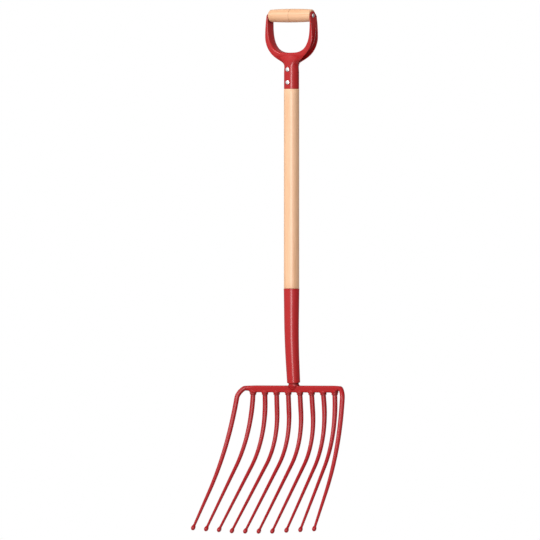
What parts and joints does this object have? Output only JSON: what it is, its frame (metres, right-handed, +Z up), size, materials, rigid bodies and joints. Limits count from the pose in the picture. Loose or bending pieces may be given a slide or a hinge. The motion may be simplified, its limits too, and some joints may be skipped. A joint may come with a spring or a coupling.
{
  "type": "potato fork",
  "caption": "Long-handled fork: wooden grip in a pressed steel yoke, straight wooden shaft, bent socket tube, and round scooped tines with ball tips on a forged crossbar.",
  "frame": {"origin": "on the lowest line of the wooden grip, under its middle, where a hook or a hand carries the fork", "axes": "+Z up along the shaft towards the grip; -Y forward, the way that the tines are scooped; +X along the grip, to the right as seen from the front"},
  "size_m": [0.3468, 0.203, 1.233],
  "materials": {
    "red_paint": "glossy red paint over steel",
    "pale_wood": "smooth pale hardwood with a thin clear varnish",
    "bright_steel": "bright zinc-plated steel"
  },
  "bodies": {
    "root": {"grip": "pale_wood", "grip_rivet": "bright_steel", "yoke": "red_paint", "yoke_rivet_upper": "bright_steel", "yoke_rivet_lower": "bright_steel", "shaft": "pale_wood", "socket": "red_paint", "socket_screw": "bright_steel", "crossbar": "red_paint", "tine_01": "red_paint", "tine_02": "red_paint", "tine_03": "red_paint", "tine_04": "red_paint", "tine_05": "red_paint", "tine_06": "red_paint", "tine_07": "red_paint", "tine_08": "red_paint", "tine_09": "red_paint", "tine_10": "red_paint"}
  },
  "joints": []
}
